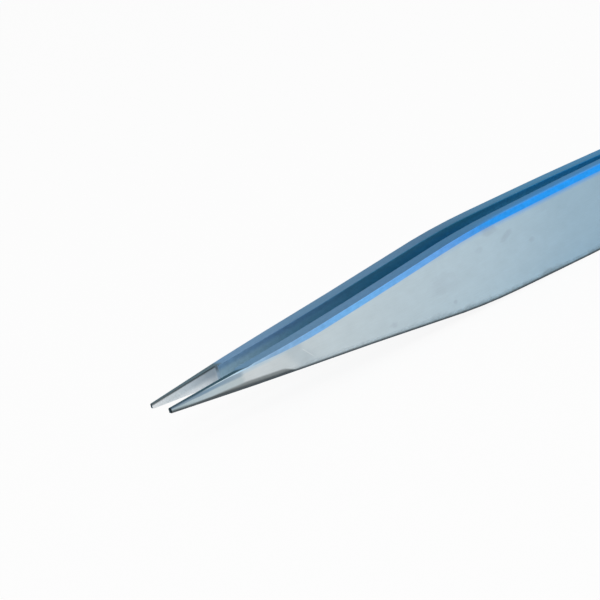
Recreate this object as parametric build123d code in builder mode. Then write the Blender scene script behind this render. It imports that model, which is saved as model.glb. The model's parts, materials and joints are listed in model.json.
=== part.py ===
"""Fine-pointed tweezers: two bevelled steel arms, bowed apart and welded together at the tail.

The tips point towards -X, the arms are mirror images across Y = 0, and the tweezers stand on the
lower edges of both arms at Z = 0. Every distance along an arm is measured back from the tips.
"""
import os
from math import floor, hypot

from build123d import *

# Lengths along the arm, in millimetres
overall_length = 120.0
waist_from_tips = 22.5
shoulder_from_tips = 43.0
full_width_from_tips = 61.0
weld_length = 20.0
thinning_length = 16.5
lapped_length = 8.7

# Widths, seen from the side
tip_width = 0.55
waist_width = 4.5
shoulder_width = 9.4
bar_width = 10.0
tail_width = 8.0

# Thickness of one arm and the opening between the arms at rest
bar_thickness = 2.2
tip_thickness = 0.35
tip_opening = 3.5
shoulder_opening = 2.9

# Bevels along the two outer edges of each arm, narrow beside the tip and growing behind it
bevel_height = 0.66
bevel_depth = 0.2
tip_bevel_share = 0.2
narrow_bevel_length = 9.0
bevel_growth_length = 8.0

# Flat ground into each gripping face: shallow at the tip, deeper at its rear, then an arc out
lap_tip_depth = 0.08
lap_rear_depth = 0.45
lap_run_out = 0.5

# Rounded places
waist_rounding = 20.0
shoulder_rounding = 10.0
handle_rounding = 8.0
bow_rounding = 20.0
thinning_rounding = 8.0
bevel_growth_rounding = 3.0
weld_bend_rounding = 12.0
tip_corner_radius = 0.1
tail_corner_radius = 2.0
section_spacing = 3.0

# Places that follow from the sizes above
tip_x = -overall_length / 2
half_bar = bar_width / 2
weld_from_tips = overall_length - weld_length
weld_bend_from_tips = weld_from_tips - weld_bend_rounding / 2
handle_from_tips = full_width_from_tips + handle_rounding / 2
unlapped_tip_gap = tip_opening / 2 - lap_tip_depth


def bend(distance, corner, rounding):
    """Rise of a line that is level up to a corner, then climbs one for one, with the corner rounded."""
    into_bend = distance - (corner - rounding / 2)
    if into_bend <= 0:
        return 0.0
    if into_bend >= rounding:
        return distance - corner
    return into_bend**2 / (2 * rounding)


def half_width(distance):
    """Half the arm's height: slender tip, hollow flank, shoulder, slight swell, parallel handle."""
    tip_slope = (waist_width - tip_width) / 2 / waist_from_tips
    flank_slope = (shoulder_width - waist_width) / 2 / (shoulder_from_tips - waist_from_tips)
    swell = (bar_width - shoulder_width) / 2 / (full_width_from_tips - shoulder_from_tips)
    return (
        tip_width / 2
        + tip_slope * distance
        + (flank_slope - tip_slope) * bend(distance, waist_from_tips, waist_rounding)
        - (flank_slope - swell) * bend(distance, shoulder_from_tips, shoulder_rounding)
        - swell * bend(distance, full_width_from_tips, handle_rounding)
    )


def half_gap(distance):
    """Distance from the middle plane to the arm's inner face: the bow, closing at the weld."""
    blade_slope = (unlapped_tip_gap - shoulder_opening / 2) / shoulder_from_tips
    handle_slope = shoulder_opening / 2 / (weld_bend_from_tips - shoulder_from_tips)
    return (
        unlapped_tip_gap
        - blade_slope * distance
        - (handle_slope - blade_slope) * bend(distance, shoulder_from_tips, bow_rounding)
        + handle_slope * bend(distance, weld_bend_from_tips, weld_bend_rounding)
    )


def thickness(distance):
    """Thickness of the arm: full at the handle and ground thinner towards the tip."""
    slope = (bar_thickness - tip_thickness - lap_tip_depth) / thinning_length
    ground = slope * (distance - bend(distance, thinning_length, thinning_rounding))
    return tip_thickness + lap_tip_depth + ground


def bevel_share(distance):
    """Size of the bevel at this place, as a share of the full bevel."""
    growth_end = narrow_bevel_length + bevel_growth_length
    grown = bend(distance, narrow_bevel_length, bevel_growth_rounding)
    grown -= bend(distance, growth_end, bevel_growth_rounding)
    return tip_bevel_share + (1 - tip_bevel_share) * grown / bevel_growth_length


def arm_section(distance):
    """Cross-section of the near arm: a bar with both of its outer corners bevelled."""
    top = half_width(distance)
    inner = -half_gap(distance)
    outer = inner - thickness(distance)
    edge = outer + bevel_depth * bevel_share(distance)
    side = top - bevel_height * bevel_share(distance)
    plane = Plane(origin=(tip_x + distance, 0, half_bar), x_dir=(0, 1, 0), z_dir=(1, 0, 0))
    with BuildSketch(plane) as section:
        with BuildLine():
            upper_half = Polyline((inner, 0), (inner, top), (edge, top), (outer, side), (outer, 0))
            mirror(upper_half, about=Plane.XZ)
        make_face()
    return section.sketch.face()


def sections_between(start, end):
    """Evenly spaced cross-sections from one place on the arm to another."""
    count = max(2, floor((end - start) / section_spacing))
    step = (end - start) / count
    return [arm_section(start + step * index) for index in range(count + 1)]


# The arm nearer the viewer, all one bar
with BuildPart() as near_arm:
    # Welded tail, narrowing evenly with its bevels: what a bar running down and one running up share
    weld_section = arm_section(weld_from_tips)
    tail_drop = half_bar - tail_width / 2
    tail_run = hypot(weld_length, tail_drop)
    extrude(weld_section, amount=tail_run, dir=(weld_length, 0, -tail_drop))
    extrude(weld_section, amount=tail_run, dir=(weld_length, 0, tail_drop), mode=Mode.INTERSECT)

    # Handle and the bend into the weld with flat sides, then the curved blade
    weld_bend = sections_between(weld_from_tips - weld_bend_rounding, weld_from_tips)
    loft([arm_section(handle_from_tips), *weld_bend], ruled=True)
    loft(sections_between(0, handle_from_tips))

    # The gripping face is ground flat, and falls back behind the tips so that they meet first
    with BuildSketch(Plane.XY):
        with BuildLine():
            tip_corner = (tip_x, -tip_opening / 2)
            lap_rear = (tip_x + lapped_length, -half_gap(lapped_length) - lap_rear_depth)
            run_out = lapped_length + lap_run_out
            flat = Line(tip_corner, lap_rear)
            wall = TangentArc(flat @ 1, (tip_x + run_out, -half_gap(run_out)), tangent=flat % 1)
            Polyline(wall @ 1, (tip_x + run_out, 0), (tip_x, 0), tip_corner)
        make_face()
    extrude(amount=bar_width, mode=Mode.SUBTRACT)

    # Corners of the tip and of the tail, rounded as seen from the side
    tip_edges = near_arm.edges().group_by(Axis.X)[0].sort_by(Axis.Z)
    fillet([tip_edges[0], tip_edges[-1]], tip_corner_radius)
    tail_edges = near_arm.edges().group_by(Axis.X)[-1].sort_by(Axis.Z)
    fillet([tail_edges[0], tail_edges[-1]], tail_corner_radius)

# The other arm is its mirror image, welded to it face to face at the tail
with BuildPart() as far_arm:
    mirror(near_arm.part, about=Plane.XZ)

os.makedirs("parts", exist_ok=True)
near_arm.part.label = "near_arm"
far_arm.part.label = "far_arm"
export_step(near_arm.part, "parts/near_arm.step")
export_step(far_arm.part, "parts/far_arm.step")
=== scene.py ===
# %% [markdown]
# # Fine-pointed tweezers
# Two bowed steel arms, welded together at the tail. The bars were tinted blue in an electrolytic
# bath. Then their outer faces were ground back to pale steel, and so were the points. The CAD model
# gives the exact shape, so this script rounds its edges a little, makes the finishes, and sets up
# the studio. Everything is in metres, in the frame of the CAD model: the tips point along -X, the
# arms mirror each other across Y = 0, and the tweezers rest on their lower edges at Z = 0.

# %% Load the CAD model
import json
import math

import bpy
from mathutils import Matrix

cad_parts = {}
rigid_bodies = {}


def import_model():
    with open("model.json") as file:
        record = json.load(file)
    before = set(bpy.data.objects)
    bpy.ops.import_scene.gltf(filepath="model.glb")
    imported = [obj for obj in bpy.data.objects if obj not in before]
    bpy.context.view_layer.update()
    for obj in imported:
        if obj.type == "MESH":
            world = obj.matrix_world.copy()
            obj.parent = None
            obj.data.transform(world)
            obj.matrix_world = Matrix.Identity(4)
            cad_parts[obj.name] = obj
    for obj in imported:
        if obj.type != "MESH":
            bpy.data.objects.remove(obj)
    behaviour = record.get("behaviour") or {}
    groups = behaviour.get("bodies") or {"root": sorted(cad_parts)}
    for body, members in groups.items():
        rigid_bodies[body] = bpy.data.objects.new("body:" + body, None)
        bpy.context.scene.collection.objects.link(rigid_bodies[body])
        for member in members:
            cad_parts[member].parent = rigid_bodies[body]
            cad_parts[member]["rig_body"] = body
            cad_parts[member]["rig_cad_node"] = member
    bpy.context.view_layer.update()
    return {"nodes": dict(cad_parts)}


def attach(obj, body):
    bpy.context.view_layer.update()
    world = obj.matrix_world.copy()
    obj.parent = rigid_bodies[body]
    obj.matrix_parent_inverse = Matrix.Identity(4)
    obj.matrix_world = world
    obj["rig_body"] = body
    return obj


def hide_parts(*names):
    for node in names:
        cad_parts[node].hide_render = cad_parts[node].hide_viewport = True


mm = 0.001


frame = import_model()
bpy.ops.object.select_all(action="DESELECT")

# %% [markdown]
# ## Sizes that the finishes follow
# A finish starts and stops at real places on the arm, such as where the grinding of the tip ends.
# They are given in millimetres, and lengths along an arm are counted back from the tips. The first
# cell repeats sizes of the CAD model, because a material can't ask it for them. The second holds
# the sizes that belong to the finishes alone.

# %% Sizes of the CAD model, in millimetres
tip_x = -60.0
mid_height = 5.0
tip_half_width = 0.275
waist_half_width = 2.25
shoulder_half_width = 4.7
bar_half_width = 5.0
waist_from_tips, waist_rounding = 22.5, 20.0
shoulder_from_tips, shoulder_rounding = 43.0, 10.0
full_width_from_tips, handle_rounding = 61.0, 8.0
bar_thickness, shoulder_half_gap = 2.2, 1.45
arms_meet_from_tips = 94.0
lapped_length, lap_run_out = 8.7, 0.5
print("the arms meet", arms_meet_from_tips, "mm from the tips")

# %% Sizes of the finishes, in millimetres
# Length of the crescent of painted shade along the lower edge.
reground_length = 9.1
shade_crescent_length = 16.0
edge_rounding = 0.09
print("the tips are reground over the first", reground_length, "mm")

# %% [markdown]
# ## Shader maths as plain Python
# A procedural material is a calculation for every point of a surface. Wiring Math nodes one by one
# is hard to read, so `Reading` wraps a node's output and lets Python's own + - * / build the
# nodes. The class below it, `Wiring`, has `node`, the one method that adds a node, and shorthands
# for the nodes that are asked for most. It serves the materials and the world alike.


# %% A socket that Python can calculate with
class Reading:
    """A value that varies over a surface. Every sum made with it adds one Math node."""

    def __init__(self, wiring, socket):
        self.wiring = wiring
        self.socket = socket

    def math(self, operation, *others):
        """One Math node, fed with this value and then the others."""
        return self.wiring.math(operation, self, *others)

    def __add__(self, other):
        return self.math("ADD", other)

    def __radd__(self, other):
        return self.wiring.math("ADD", other, self)

    def __sub__(self, other):
        return self.math("SUBTRACT", other)

    def __rsub__(self, other):
        return self.wiring.math("SUBTRACT", other, self)

    def __mul__(self, other):
        return self.math("MULTIPLY", other)

    def __rmul__(self, other):
        return self.wiring.math("MULTIPLY", other, self)

    def __truediv__(self, other):
        return self.math("DIVIDE", other)

    def __abs__(self):
        return self.math("ABSOLUTE")

    def least(self, other):
        return self.math("MINIMUM", other)

    def most(self, other):
        return self.math("MAXIMUM", other)


# %% A node tree and the one way to add a node to it
class Wiring:
    """The nodes of one material, or of the world."""

    def __init__(self, tree):
        self.tree = tree

    def node(self, kind, settings=None, inputs=None, output=0):
        """Add a node, set it up, feed its sockets and hand back one of its outputs."""
        made = self.tree.nodes.new(kind)
        for name, value in (settings or {}).items():
            if name == "stops":
                self.fill_ramp(made.color_ramp, value)
            else:
                setattr(made, name, value)
        for name, value in (inputs or {}).items():
            self.feed(made.inputs[name], value)
        return Reading(self, made.outputs[output])

    def feed(self, socket, value):
        """Join a reading to a socket, or set the socket to a plain number or colour."""
        if isinstance(value, Reading):
            self.tree.links.new(value.socket, socket)
        else:
            socket.default_value = value

    def fill_ramp(self, ramp, stops):
        """Give a colour ramp its stops, a dictionary of positions and colours."""
        while len(ramp.elements) < len(stops):
            ramp.elements.new(1.0)
        for element, (position, colour) in zip(ramp.elements, sorted(stops.items())):
            element.position = position
            element.color = colour

    def math(self, operation, *values):
        """One Math node, fed with the values in their order."""
        return self.node("ShaderNodeMath", {"operation": operation}, dict(enumerate(values)))

    def step(self, value, start, end):
        """0 at start, 1 at end, smooth between them and level beyond. Start may be the larger."""
        settings = {"interpolation_type": "SMOOTHSTEP"}
        limits = {"Value": value, "From Min": start, "From Max": end}
        return self.node("ShaderNodeMapRange", settings, limits)

    def blend(self, share, first, second):
        """The first colour where share is 0 and the second where it is 1."""
        settings = {"data_type": "RGBA"}
        return self.node("ShaderNodeMix", settings, {0: share, 6: first, 7: second}, output=2)

    def split(self, vector):
        """The three parts of a vector, as three readings."""
        parts = self.node("ShaderNodeSeparateXYZ", inputs={0: vector}).socket.node
        return [Reading(self, socket) for socket in parts.outputs]

    def report(self, stage):
        """Print how many nodes there are once a stage is done."""
        print(stage + ":", len(self.tree.nodes), "nodes so far")


# %% Materials and colours
def finish(name):
    """A new material, with its wiring and its shader."""
    material = bpy.data.materials.new(name)
    material.use_nodes = True
    wiring = Wiring(material.node_tree)
    return material, wiring, material.node_tree.nodes["Principled BSDF"]


def paint(red, green, blue):
    """A colour as a paint chart gives it, 0 to 255, as the linear light a shader works in."""
    def linear(level):
        share = level / 255
        return share / 12.92 if share <= 0.04045 else ((share + 0.055) / 1.055) ** 2.4
    return (linear(red), linear(green), linear(blue), 1.0)


def grey(light):
    """A grey that is already given in linear light, from 0 for black to 1 for white."""
    return (light, light, light, 1.0)


steel_material, steel, steel_shader = finish("tinted_steel_finish")
print("paint(190, 205, 212) is", [round(c, 3) for c in paint(190, 205, 212)])

# %% [markdown]
# ## Where on the arm a point lies
# Every finish depends on its place. A painted image could hold that, but it needs a UV map and is
# coarse up close, while sums on coordinates stay sharp. Object coordinates are metres in the
# model's own frame, so `back` is the distance from the tips, and `up` the height above the middle
# of the arm. The arm's outline is a straight taper with three rounded corners. The same sum that
# shaped it gives `from_top` and `from_low`, a point's distances from the two edges, and
# `share_down`, which is 0 at the upper edge and 1 in the middle. Behind the shoulder the gap
# between the arms closes evenly, which gives `from_inside` and `from_outside`, a point's depths
# below the arm's inner and outer faces. One material serves both arms.

# %% Distance from the tips, and from the upper and lower edges
place = steel.node("ShaderNodeTexCoord", output="Object")
along, sideways, height = steel.split(place)
back = along / mm - tip_x
across = sideways / mm
up = height / mm - mid_height


def rounded_bend(corner, rounding):
    """Level up to a corner, then rising one for one, with the corner rounded."""
    start = corner - rounding / 2
    inside = steel.node("ShaderNodeClamp", inputs={0: back - start, "Min": 0.0, "Max": rounding})
    beyond = (back - (start + rounding)).most(0.0)
    return inside * inside / (2 * rounding) + beyond


tip_slope = (waist_half_width - tip_half_width) / waist_from_tips
flank_slope = (shoulder_half_width - waist_half_width) / (shoulder_from_tips - waist_from_tips)
swell = (bar_half_width - shoulder_half_width) / (full_width_from_tips - shoulder_from_tips)
half_width = (
    back * tip_slope
    + tip_half_width
    + rounded_bend(waist_from_tips, waist_rounding) * (flank_slope - tip_slope)
    - rounded_bend(shoulder_from_tips, shoulder_rounding) * (flank_slope - swell)
    - rounded_bend(full_width_from_tips, handle_rounding) * swell
)
from_top = half_width - up
from_low = half_width + up
share_down = from_top / half_width
steel.report("distances along and across the arm")

# %% Depth below the inner and outer faces
closing = shoulder_half_gap / (arms_meet_from_tips - shoulder_from_tips)
half_gap = (arms_meet_from_tips - back).most(0.0) * closing
from_inside = abs(across) - half_gap
from_outside = bar_thickness - from_inside
steel.report("depths below the faces")

# %% [markdown]
# The bar's faces look away from the other arm, towards it, up or down, or along the arm, and the
# bevels look outwards and a little up or down. Their finishes differ, and one material has to tell
# them apart. Faces could be given materials one by one, but then a finish would stop dead at a
# face's border. So each mask reads the normal, the direction in which the surface looks, and
# fades over the rounded edges.

# %% Which face of the bar it is
seam_fade = 0.05
facing = steel.node("ShaderNodeTexCoord", output="Normal")
facing_x, facing_y, facing_z = steel.split(facing)
outward = facing_y * across.math("SIGN")
outer_side = steel.step(outward, 0.4, 0.7)
inner_side = steel.step(outward, -0.3, -0.6)
bevel_side = outer_side * steel.step(abs(facing_z), 0.1, 0.24)
upward_side = steel.step(facing_z, 0.5, 0.8)
near_arm_only = steel.step(across, seam_fade, -seam_fade)
below = steel.step(up, seam_fade, -seam_fade)
steel.report("kinds of face")

# %% [markdown]
# Two small places look along the arm, towards the tips, and their distance from the tips tells them
# apart. One is the end of each tip, whose dark finish runs round the corner on the near arm. The
# other is the short wall in which the flat of the gripping face ends, and it counts as part of the
# inner face.

# %% Ends of the tips, and the wall behind the gripping face
tip_end = steel.step(facing_x, -0.5, -0.9) * steel.step(back, 0.4, 0.2)
round_corner = near_arm_only * steel.step(back, 0.22, 0.1)
tip_end = tip_end.most(round_corner)
lap_wall = steel.step(facing_x, -0.2, -0.6) * steel.step(back, 8.0, 8.4)
inner_side = inner_side.most(lap_wall)
steel.report("ends and wall")

# %% [markdown]
# ## Unevenness
# Nothing ground or tinted is quite even. `mottle` is a soft cloudiness a millimetre or two across,
# `speckle` is finer and tells where the bath has taken more or less, and `grain` is the fine lines
# that a grinding belt leaves along the arm. All three are the same noise, stretched differently,
# and swing about zero.


# %% Cloudiness and grinding lines
def unevenness(per_mm_along, per_mm_across, detail):
    """Noise about zero, with its own fineness along the arm and across it."""
    axes = {0: back * per_mm_along, 1: across * per_mm_across, 2: up * per_mm_across}
    stretched = steel.node("ShaderNodeCombineXYZ", inputs=axes)
    looks = {"Vector": stretched, "Scale": 1.0, "Detail": detail, "Roughness": 0.6}
    return steel.node("ShaderNodeTexNoise", inputs=looks) - 0.5


mottle = unevenness(0.45, 0.8, 4.0)
speckle = unevenness(1.5, 3.0, 2.0)
grain = unevenness(0.5, 11.0, 3.0)
steel.report("unevenness")

# %% [markdown]
# ## Colours of the finishes
# Steel tinted in a bath keeps a deep, even blue where nothing has rubbed it: on the inner faces and
# the narrow edges. The bevels are tinted blue too, and their brightness is a painted highlight. The
# outer faces were ground pale again, and the blue creeps back in towards the handle. These changes
# are slow, so a colour ramp along the arm with a few stops holds each of them.


# %% A colour that changes along the arm
def by_length(stops):
    """A ramp whose stops are given in millimetres from the tips."""
    ramp_length = 80.0
    scaled = {length / ramp_length: colour for length, colour in stops.items()}
    return steel.node("ShaderNodeValToRGB", {"stops": scaled}, {0: back / ramp_length})


# %% Tinted narrow edges
tint = by_length({10: paint(98, 126, 155), 30: paint(80, 113, 150), 42: paint(54, 100, 141),
                  56: paint(20, 104, 164), 78: paint(34, 105, 156)})
far_tint = by_length({14: paint(104, 130, 162), 24: paint(89, 119, 149), 34: paint(84, 114, 146),
                      43: paint(70, 100, 133), 56: paint(44, 108, 147), 78: paint(34, 105, 156)})
tint = steel.blend(near_arm_only, far_tint, tint)
# Colour of the painted shade towards the gap between the arms.
gap_shade_colour = paint(20, 76, 112)
steel.report("narrow edges")

# %% Tinted inner faces
inner_rim = by_length({9: paint(114, 150, 182), 18: paint(88, 128, 166), 30: paint(54, 114, 148),
                       40: paint(46, 113, 150), 46: paint(34, 107, 143), 62: paint(22, 117, 174)})
inner_deep = by_length({9: paint(146, 176, 192), 20: paint(92, 141, 171), 32: paint(49, 119, 158),
                        44: paint(32, 112, 160), 54: paint(58, 138, 181)})
inner_tint = steel.blend(steel.step(from_top, 0.25, 0.9), inner_rim, inner_deep)
steel.report("inner faces")

# %% Bevels: blue tint with a painted highlight
bevel = by_length({9.5: paint(172, 203, 224), 13: paint(134, 170, 204), 20: paint(118, 174, 226),
                   26: paint(112, 176, 232), 40: paint(100, 160, 227), 46: paint(48, 150, 236),
                   58: paint(42, 153, 242)})
steel.report("bevels")

# %% [markdown]
# The ground outer faces get two more marks. Close behind the tip a painted blue reflection lies
# below the upper edge, and a leaning, slightly darker band crosses the blade.

# %% Ground outer faces
outer = by_length({9: paint(208, 214, 216), 14: paint(202, 210, 213), 20: paint(197, 209, 214),
                   44: paint(182, 202, 213), 58: paint(162, 188, 204), 75: paint(152, 181, 199)})
# Painted reflection: blue below the upper edge close behind the tip.
painted_sheen = steel.step(share_down, 0.62, 0.3) * steel.step(back, 19.0, 12.0)
outer = steel.blend(painted_sheen * 0.28, outer, paint(120, 180, 215))

# A leaning, slightly darker band across the blade.
band_from_tips, band_lean = 15.3, 0.7
from_band = abs(back - from_top * band_lean - band_from_tips)
darker_band = steel.step(from_band + mottle, 1.9, 0.4)
outer = steel.blend(darker_band * 0.3, outer, paint(152, 170, 180))
steel.report("outer faces")

# %% [markdown]
# Near the tips a dark crescent of painted shade lies along the lower edge. It starts as a thin
# line, thickens, and ends in a sharp point. Its height is the smaller of a rising line and a
# falling one, and a point of the face that lies lower than that is dark. Behind the crescent the
# edge gets a thin dark line of painted shade, with the ground finish right up to it, and on the
# handle the face darkens towards the lower edge, also painted shade.

# %% Crescent of painted shade
full_height, growth, tapering = 0.72, 0.075, 0.42
growing = (back * growth - 0.03).least(full_height)
ending = (shade_crescent_length - back) * tapering
crescent_height = growing.math("SMOOTH_MIN", ending, 0.3)
crescent = steel.step(from_low - crescent_height + mottle * 0.1, 0.16, -0.1)
crescent_dark = by_length({3: paint(24, 30, 32), 10: paint(64, 70, 72)})
crescent_light = paint(134, 141, 143)
crescent_shade_colour = steel.blend(steel.step(from_low, 0.1, 0.62), crescent_dark, crescent_light)
steel.report("crescent")

# %% Painted shade along the lower edge
# Painted shade: a thin dark line along the lower edge.
low_edge_shade = steel.step(from_low, 0.46, 0.12)
low_edge_shade_colour = paint(84, 92, 96)
# Painted shade: on the handle the face darkens towards the lower edge.
lower_shade = steel.step(from_low + mottle * 2.0, 1.0, 0.1) * steel.step(back, 24, 44) * 0.55
lower_shade_colour = paint(132, 148, 156)
steel.report("lower edge")

# %% [markdown]
# ## Reground tips
# The nine millimetres next to the points were ground again after tinting. They are bare steel: dark
# where a narrow edge mirrors the room, pale on the lapped gripping faces, and a cool grey outside,
# with a painted highlight along the upper bevel and painted shade below it. Their colours are ramps
# and blends of the same kinds as above.

# %% Edges and outer faces of the tips
bare_edge = by_length({0: paint(18, 26, 34), 4: paint(24, 42, 54)})
bare_edge = steel.blend((1.0 - near_arm_only) * 0.5, bare_edge, paint(110, 112, 112))
bare_end = paint(34, 40, 44)
# Painted highlight along the upper bevel of the tips.
tip_bevel_highlight = by_length({1: paint(114, 132, 150), 3.5: paint(124, 148, 168),
                       6.5: paint(222, 242, 250), 9: paint(174, 202, 221)})
tip_face = by_length({1: paint(170, 188, 194), 4: paint(182, 197, 204), 9: paint(188, 200, 203)})
tip_shade = by_length({1: paint(134, 154, 168), 5: paint(127, 152, 172), 9: paint(156, 174, 187)})
out_of_shade = steel.step(share_down + mottle * 0.3, 0.45, 0.75)
tip_outer = steel.blend(out_of_shade, tip_shade, tip_face)
steel.report("outer faces of the tips")

# %% Lapped gripping faces
lapped = by_length({0: paint(226, 229, 231), 3: paint(204, 213, 218), 5: paint(194, 204, 211),
                    8: paint(158, 170, 180)})
lapped_light = steel.step(from_top, 0.7, 1.4) * steel.step(back, 11.0, 5.0)
lapped = steel.blend(lapped_light, lapped, paint(228, 233, 236))
# Painted dark reflection along the top of the gripping face, as on the bare edges.
lapped = steel.blend(steel.step(from_top, 0.3, 0.1) * 0.9, lapped, paint(50, 62, 65))
# Painted shadow: the wall behind the gripping face is dark along its top.
wall_shadow, wall_deep = paint(92, 106, 117), paint(140, 162, 180)
wall_colour = steel.blend(steel.step(from_top, 0.3, 1.0), wall_shadow, wall_deep)
lapped = steel.blend(lap_wall, lapped, wall_colour)
steel.report("gripping faces")

# %% [markdown]
# ## One material for the whole arm
# Each kind of face first gets its own finish from handle to tip. The bare steel of the tip ends
# softly on the outer faces and bevels. The upper bevels carry a painted highlight, and the lower
# ones have the finish of the outer face. On the narrow edges the bare steel ends nearly square
# across the far arm, and in a slant across the near one, reaching further back on the outer side.
# On the handle the bevel's painted highlight spreads a little onto both arms' outer faces and onto
# the near arm's upper edge, and both upper edges darken towards the gap with painted shade.

# %% Outer faces, inner faces and bevels from handle to tip
tip_fade = 0.35
in_tip = steel.step(back + mottle * 0.8, reground_length + tip_fade, reground_length - tip_fade)
wall_top = lapped_length + lap_run_out
in_lap = steel.step(back, wall_top, wall_top - 0.1)
inner = steel.blend(in_lap, inner_tint, lapped)
flat = steel.blend(in_tip, outer, tip_outer)
# Painted highlight: the bright bevel colour spreads onto the upper part of the outer face on the
# handle.
bevel_highlight_spill = steel.step(from_top, 1.3, 0.5) * steel.step(back, 30, 58) * 0.65
flat = steel.blend(bevel_highlight_spill, flat, bevel)
upper = steel.blend(in_tip, bevel, tip_bevel_highlight)
# Only the upper bevels get the painted highlight; the lower ones take the outer face's colour.
bevels = steel.blend(below, upper, flat)
steel.report("faces and bevels from handle to tip")

# %% Narrow edges from handle to tip
slant_starts, near_shorter = 1.65, 1.2
near_slant, far_slant = 1.0, -0.2
slant = near_arm_only * (near_slant - far_slant) + far_slant
slanted_back = back - (abs(across) - slant_starts) * slant + near_arm_only * near_shorter
edges = steel.blend(steel.step(slanted_back, 10.0, 9.2), tint, bare_edge)
steel.report("edges from handle to tip")

# %% Painted shade and highlight on the upper edges
# Painted shade: the upper edges darken towards the gap.
towards_gap = steel.step(from_inside, 1.3, 0.0) * upward_side * 0.35
on_handle = steel.step(back, 38, 46) * steel.step(back, 85, 70)
edges = steel.blend(towards_gap * on_handle, edges, gap_shade_colour)
# Painted highlight: the bevel colour on the outer part of the near arm's upper edge.
near_edge_highlight = near_arm_only * steel.step(from_outside, 1.0, 0.2) * steel.step(back, 42, 50)
edges = steel.blend(near_edge_highlight * upward_side * 0.85, edges, bevel)
steel.report("shading of the upper edges")

# %% [markdown]
# Then the finishes are layered as they were made on the bar. The narrow edges are the ground that
# the others are laid on, each where its mask says so, and what was done last lies on top.

# %% Layer the finishes
colour = steel.blend(inner_side, edges, inner)
colour = steel.blend(outer_side, colour, flat)
colour = steel.blend(bevel_side, colour, bevels)
colour = steel.blend(lower_shade * outer_side, colour, lower_shade_colour)
colour = steel.blend(crescent * outer_side, colour, crescent_shade_colour)
colour = steel.blend(low_edge_shade * outer_side, colour, low_edge_shade_colour)
# Painted dark reflection along the top of the near arm's outer face near the tip.
dark_reflection_rim = near_arm_only * steel.step(from_top, 0.14, 0.04) * steel.step(back, 8.0, 2.0) * 0.6
colour = steel.blend(dark_reflection_rim, colour, paint(40, 58, 70))
colour = steel.blend(tip_end, colour, bare_end)
steel.report("layers")

# %% [markdown]
# ## Marks of use
# The near arm's outer face has faint grey smudges from gloved fingers, and a hair scratch where
# the grinding of the tip overran. Another scratch crosses the gripping faces. They could be drawn
# by hand in an image. As sums they need none: a smudge is placed by its distance from the tips and
# its height above the middle of the arm, and a scratch by its distance from the tips and its depth
# below the upper edge.


# %% Smudges
def smudge(length, level, reach, rise, lean=0.0):
    """A soft, ragged spot, which may lean up towards the handle."""
    behind = back - length
    far = behind / reach
    high = (up - level - behind * lean) / rise
    return steel.step(far * far + high * high + mottle * 3.0, 1.5, 0.0)


smudges = [
    smudge(45.8, 3.7, reach=1.3, rise=0.6),
    smudge(48.3, 2.2, reach=1.0, rise=0.45, lean=0.4),
    smudge(43.8, 2.0, reach=0.6, rise=0.35) * 0.6,
    smudge(51.9, 0.3, reach=0.5, rise=0.35),
    smudge(29.6, -1.7, reach=0.6, rise=0.35),
    smudge(37.8, 0.2, reach=2.4, rise=1.2) * 0.4,
    smudge(38.7, -2.5, reach=0.3, rise=0.25),
]
smudged = smudges[0]
for spot in smudges[1:]:
    smudged = smudged.most(spot)
smudged = smudged * near_arm_only * outer_side
colour = steel.blend(smudged * 0.2, colour, paint(136, 142, 160))
steel.report("smudges")


# %% Scratches
def scratch(length, depth, run, drop):
    """A hair line from a place below the upper edge, with its run along the arm and its drop."""
    reach = math.hypot(run, drop)
    behind = back - length
    fall = from_top - depth
    along_line = (behind * run + fall * drop) / reach
    aside = abs(behind * drop - fall * run) / reach
    ends = steel.step(along_line, 0.0, 0.3) * steel.step(along_line, reach, reach - 0.5)
    return steel.step(aside, 0.07, 0.02) * ends


scratches = scratch(16.9, 1.2, run=1.4, drop=1.7) * near_arm_only * outer_side
scratches = scratches.most(scratch(3.4, 0.3, run=0.9, drop=1.1) * inner_side)
colour = steel.blend(scratches * 0.4, colour, paint(228, 232, 234))
steel.report("scratches")

# %% [markdown]
# ## Shine
# Bare and tinted steel are both metal, so their colour is that of the reflection. The inner faces
# mirror little but each other, and as pure metal they would be too dark, so they are only partly
# metallic. The grinding lines are too fine to model, and a Bump node bends the light as they would.

# %% Shine, roughness and grinding lines
tinted = (1.0 - outer_side).most(bevel_side) * steel.step(back, 8.0, 11.0)
shading = 1.0 + mottle * 0.16 + grain * 0.12 + speckle * tinted * 0.4
colour = steel.node("ShaderNodeVectorMath", {"operation": "SCALE"}, {0: colour, 3: shading})
roughness = 0.36 + inner_side * 0.18 + grain * 0.12 + mottle * 0.1
line_depth = 0.02 * mm
relief = {"Strength": 0.12, "Distance": line_depth, "Height": grain}
steel.feed(steel_shader.inputs["Base Color"], colour)
steel.feed(steel_shader.inputs["Metallic"], 1.0 - inner_side * 0.65)
steel.feed(steel_shader.inputs["Roughness"], roughness)
steel.feed(steel_shader.inputs["Normal"], steel.node("ShaderNodeBump", inputs=relief))
cool_glint = (0.65, 0.88, 1.0, 1.0)
steel.feed(steel_shader.inputs["Specular Tint"], cool_glint)
steel.report("finished material")

# %% [markdown]
# ## The arms
# The CAD solids have knife-sharp edges. On the real handle they are tumbled round, by less than a
# tenth of a millimetre, and it is that which catches the light. Only the reground tips stay crisp.
# A bevel on every edge would also round the creases between the facets of the curved faces. So
# each arm is copied, its loose triangles are merged, its long edges are chosen by their angle, and
# each gets a weight that tells the Bevel modifier how much of the rounding it takes.


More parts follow.
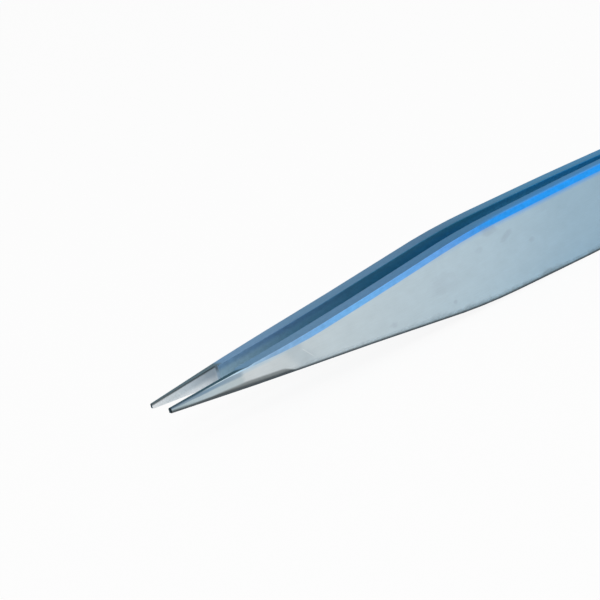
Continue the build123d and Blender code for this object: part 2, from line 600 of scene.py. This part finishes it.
# %% Copy an arm and merge its loose triangles
def merged_copy(node):
    """A copy of a CAD arm, whose flat faces are whole."""
    same_place, flat_angle = 0.0001 * mm, math.radians(0.1)
    bpy.ops.object.select_all(action="DESELECT")
    frame["nodes"][node].select_set(True)
    bpy.context.view_layer.objects.active = frame["nodes"][node]
    bpy.ops.object.duplicate()
    arm = bpy.context.object
    arm.name = node + "_steel"
    arm.parent = None
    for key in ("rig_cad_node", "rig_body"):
        del arm[key]
    bpy.ops.mesh.customdata_custom_splitnormals_clear()
    bpy.ops.object.mode_set(mode="EDIT")
    bpy.ops.mesh.select_all(action="SELECT")
    bpy.ops.mesh.remove_doubles(threshold=same_place)
    bpy.ops.mesh.dissolve_limited(angle_limit=flat_angle)
    bpy.ops.object.mode_set(mode="OBJECT")
    return arm


# %% Choose the long edges
def weigh_long_edges(arm):
    """Weigh the sharp edges for rounding: none on the crisp reground tip, full on the handle."""
    sharp_angle = math.radians(13)
    crisp_length, growing_length = reground_length + 0.3, 8.0
    bpy.ops.object.mode_set(mode="EDIT")
    bpy.ops.mesh.select_mode(type="EDGE")
    bpy.ops.mesh.select_all(action="DESELECT")
    bpy.ops.mesh.edges_select_sharp(sharpness=sharp_angle)
    bpy.ops.transform.edge_bevelweight(value=1.0)
    bpy.ops.object.mode_set(mode="OBJECT")
    weights = arm.data.attributes["bevel_weight_edge"].data
    for edge, weight in zip(arm.data.edges, weights):
        ends = [arm.data.vertices[index].co.x / mm - tip_x for index in edge.vertices]
        beyond_tip = max(0.0, sum(ends) / 2 - crisp_length)
        weight.value *= min(1.0, beyond_tip / growing_length)


# %% Round them, and shade the faces between them flat
def round_long_edges(arm):
    """Round the weighed edges and let the large faces set the normals."""
    crease_angle = math.radians(50)
    rounding = arm.modifiers.new("rounding", "BEVEL")
    rounding.width = edge_rounding * mm
    rounding.segments = 2
    rounding.limit_method = "WEIGHT"
    rounding.use_clamp_overlap = False
    bpy.ops.object.modifier_apply(modifier=rounding.name)
    bpy.ops.object.shade_smooth_by_angle(angle=crease_angle)
    flatness = arm.modifiers.new("flatness", "WEIGHTED_NORMAL")
    flatness.keep_sharp = True
    bpy.ops.object.modifier_apply(modifier=flatness.name)


# %% Both arms
for node in ("near_arm", "far_arm"):
    arm = merged_copy(node)
    weigh_long_edges(arm)
    round_long_edges(arm)
    arm.data.materials.clear()
    arm.data.materials.append(steel_material)
    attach(arm, "root")
    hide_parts(node)
    print(arm.name, "has", len(arm.data.polygons), "faces")

# %% [markdown]
# ## Studio
# The tweezers stand on a white sheet in plain soft light. In a product photo the sheet is nearly
# white. More light would do that too, but it would bleach the steel. So the camera sees the sheet
# glow nearly white of its own, and only a little of its real shading, which keeps the shadow.

# %% Floor
floor_width = 3.0
bpy.ops.object.select_all(action="DESELECT")
bpy.ops.mesh.primitive_plane_add(size=floor_width, location=(0, 0, 0))
floor = bpy.context.object
floor.name = "floor"
print("the floor is", floor.dimensions.x, "m wide")

# %% White sheet
exposed_share = 0.93
sheet_material, sheet, sheet_shader = finish("white_sheet")
sheet_shader.inputs["Base Color"].default_value = grey(0.92)
sheet_shader.inputs["Roughness"].default_value = 0.9
sheet_shader.inputs["Specular IOR Level"].default_value = 0.0
white = sheet.node("ShaderNodeEmission", inputs={"Color": grey(0.982), "Strength": 1.0})
seen = sheet.node("ShaderNodeLightPath", output="Is Camera Ray")
lit = Reading(sheet, sheet_shader.outputs[0])
shown = sheet.node("ShaderNodeMixShader", inputs={0: seen * exposed_share, 1: lit, 2: white})
sheet.feed(sheet.tree.nodes["Material Output"].inputs["Surface"], shown)
floor.data.materials.append(sheet_material)
sheet.report("white sheet")

# %% [markdown]
# The world is a white backdrop for whatever looks at it: the camera, a reflection, or a ray
# through something clear. As a light it is a little weaker, which leaves room for the lamp.

# %% World
ambient_strength = 0.75
world = bpy.data.worlds.new("soft_studio")
bpy.context.scene.world = world
world.use_nodes = True
sky = Wiring(world.node_tree)
sky.tree.nodes.remove(sky.tree.nodes["Background"])
white_light = {"Color": grey(1.0), "Strength": ambient_strength}
ambient = sky.node("ShaderNodeBackground", inputs=white_light)
backdrop = sky.node("ShaderNodeBackground", inputs={"Color": grey(1.0), "Strength": 1.0})
camera_ray = sky.node("ShaderNodeLightPath", output="Is Camera Ray")
glossy_ray = sky.node("ShaderNodeLightPath", output="Is Glossy Ray")
through_ray = sky.node("ShaderNodeLightPath", output="Is Transmission Ray")
looked_at = camera_ray.most(glossy_ray).most(through_ray)
sky_light = sky.node("ShaderNodeMixShader", inputs={0: looked_at, 1: ambient, 2: backdrop})
sky.feed(sky.tree.nodes["World Output"].inputs["Surface"], sky_light)
sky.report("world")

# %% [markdown]
# One large softbox hangs in front, high on the left. A lamp shines along its own -Z, so its +Z is
# turned to point away from the tweezers.

# %% Softbox
softbox = bpy.data.lights.new("key_softbox", "AREA")
softbox.size = 0.5
softbox.energy = 3.0
lamp = bpy.data.objects.new("key_softbox", softbox)
bpy.context.scene.collection.objects.link(lamp)
lamp.location = (-0.35, -0.45, 0.75)
lamp.rotation_euler = lamp.location.to_track_quat("Z", "Y").to_euler()
print("the softbox is", round(lamp.location.length, 2), "m away")

# %% [markdown]
# ## Camera
# A long lens gives the flat view of a product photo. It stands low at the left, in front of the
# tips, and is rolled a little, so that the arms rise to the right.

# %% Camera
lens_mm, sensor_mm = 127.03, 36.0
pitch, roll, heading = 73.3688, 14.8016, -35.6242
camera_data = bpy.data.cameras.new("camera")
camera_data.lens = lens_mm
camera_data.sensor_width = sensor_mm
camera_data.clip_start = 0.01
camera_data.clip_end = 10.0
camera = bpy.data.objects.new("camera", camera_data)
bpy.context.scene.collection.objects.link(camera)
camera.location = (-0.157817, -0.195098, 0.075239)
camera.rotation_euler = [math.radians(angle) for angle in (pitch, roll, heading)]
bpy.context.scene.camera = camera
bpy.context.scene.view_settings.view_transform = "Standard"
print("the camera is", round(camera.location.length, 2), "m away")
